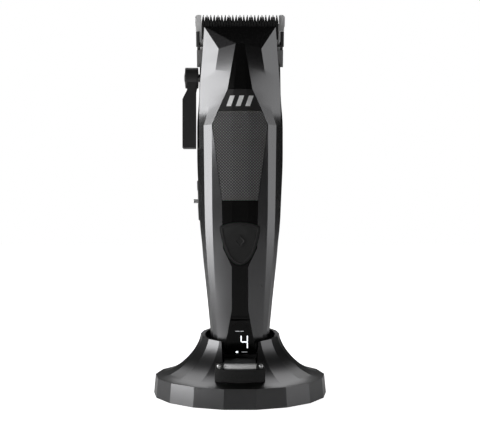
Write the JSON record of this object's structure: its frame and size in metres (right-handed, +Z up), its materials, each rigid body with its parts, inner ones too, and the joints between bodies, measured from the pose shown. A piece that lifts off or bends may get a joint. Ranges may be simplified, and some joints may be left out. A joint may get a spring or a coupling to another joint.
{
  "type": "hair clipper",
  "caption": "Cordless hair clipper with toothed blade set, taper lever, shield-shaped button and lit display, standing in a round faceted charging stand.",
  "frame": {"origin": "centre of the stand's foot on the table", "axes": "+Z up; the display, the grip plate and the notch of the stand face -Y; the taper lever and the side switch are on the -X side"},
  "size_m": [0.087, 0.0856, 0.1905],
  "materials": {
    "stand_metal": "satin gunmetal",
    "black_plastic": "moulded, matte",
    "foot_rubber": "soft rubber",
    "ballast_iron": "rough cast",
    "screw_steel": "zinc-plated steel",
    "contact_gold": "gold-plated",
    "circuit_board": "solder mask",
    "blade_steel": "ground steel",
    "gloss_black": "piano gloss",
    "chrome_trim": "polished",
    "clear_light": "clear light pipe",
    "housing_metal": "satin metal, faceted",
    "rear_plastic": "soft matte",
    "badge_black": "semi-gloss",
    "knurled_black": "diamond knurled",
    "display_black": "dark display window",
    "cell_wrap": "shrink wrap",
    "motor_steel": "plated can",
    "frame_metal": "die cast",
    "brass_bush": "machined",
    "button_rubber": "fine textured",
    "switch_tip": "pale tip",
    "motor_copper": "wound rotor",
    "cutter_black": "black coated steel",
    "carrier_black": "black coated",
    "lever_black": "matte black",
    "lever_cap_grey": "domed cap"
  },
  "bodies": {
    "stand": {"stand_shell": "stand_metal", "stand_base_plate": "black_plastic", "stand_foot_ring": "foot_rubber", "stand_ballast": "ballast_iron", "stand_screws": "screw_steel", "stand_socket_liner": "black_plastic", "stand_pin_carrier": "black_plastic", "stand_charge_pins": "contact_gold", "stand_circuit_board": "circuit_board", "stand_power_inlet": "black_plastic", "stand_inlet_pin": "blade_steel", "stand_front_block": "gloss_black", "stand_chrome_bar": "chrome_trim", "stand_status_lights": "clear_light"},
    "shield_press": {"shield_button": "button_rubber"},
    "power_switch": {"side_switch": "switch_tip"},
    "rotor": {"motor_rotor": "motor_copper", "eccentric": "brass_bush"},
    "cutter": {"cutter_blade": "cutter_black", "drive_yoke": "black_plastic"},
    "taper_blade": {"fixed_blade": "blade_steel", "blade_carrier": "carrier_black", "blade_screws": "screw_steel"},
    "lever": {"taper_lever": "lever_black", "lever_cap": "lever_cap_grey", "lever_shaft": "screw_steel", "taper_cam": "motor_steel"},
    "clipper": {"front_housing": "housing_metal", "rear_housing": "rear_plastic", "end_cap": "black_plastic", "charge_contacts": "contact_gold", "housing_screws": "screw_steel", "head_spine": "gloss_black", "badge_panel": "badge_black", "grip_plate": "knurled_black", "lower_inlay": "gloss_black", "display_lens": "display_black", "display_module": "black_plastic", "main_board": "circuit_board", "button_switch": "screw_steel", "switch_block": "black_plastic", "switch_bezel": "black_plastic", "inner_frame": "black_plastic", "battery_cell": "cell_wrap", "motor_can": "motor_steel", "motor_end_bell": "black_plastic", "head_frame": "frame_metal", "lever_bush": "brass_bush", "cutter_guide": "frame_metal"}
  },
  "joints": [
    {"name": "clipper_lift", "type": "slide", "parent": "stand", "child": "clipper", "axis": [0, 0, 1], "range_m": [0, 0.02]},
    {"name": "lever_swing", "type": "hinge", "parent": "clipper", "child": "lever", "pos_m": [-0.022, 0, 0.1592], "axis": [-1, 0, 0], "range_deg": [0, 35]},
    {"name": "taper_slide", "type": "slide", "parent": "clipper", "child": "taper_blade", "axis": [0, -0.2588, 0.9659], "range_m": [0, 0.0024]},
    {"name": "cutter_slide", "type": "slide", "parent": "clipper", "child": "cutter", "axis": [1, 0, 0], "range_m": [-0.0012, 0.0012]},
    {"name": "rotor_spin", "type": "hinge", "parent": "clipper", "child": "rotor", "pos_m": [0, 0, 0.1513], "axis": [0, 0, 1], "continuous": true},
    {"name": "switch_slide", "type": "slide", "parent": "clipper", "child": "power_switch", "axis": [0, 0, 1], "range_m": [0, 0.004]},
    {"name": "shield_press", "type": "slide", "parent": "clipper", "child": "shield_press", "axis": [0, 1, 0], "range_m": [0, 0.0006], "stiffness_N_per_m": 1500, "springref_m": -0.0002}
  ],
  "couplings": [
    {"joint": "lever_swing", "follows": "taper_slide", "rad_per_m": 254.52}
  ]
}
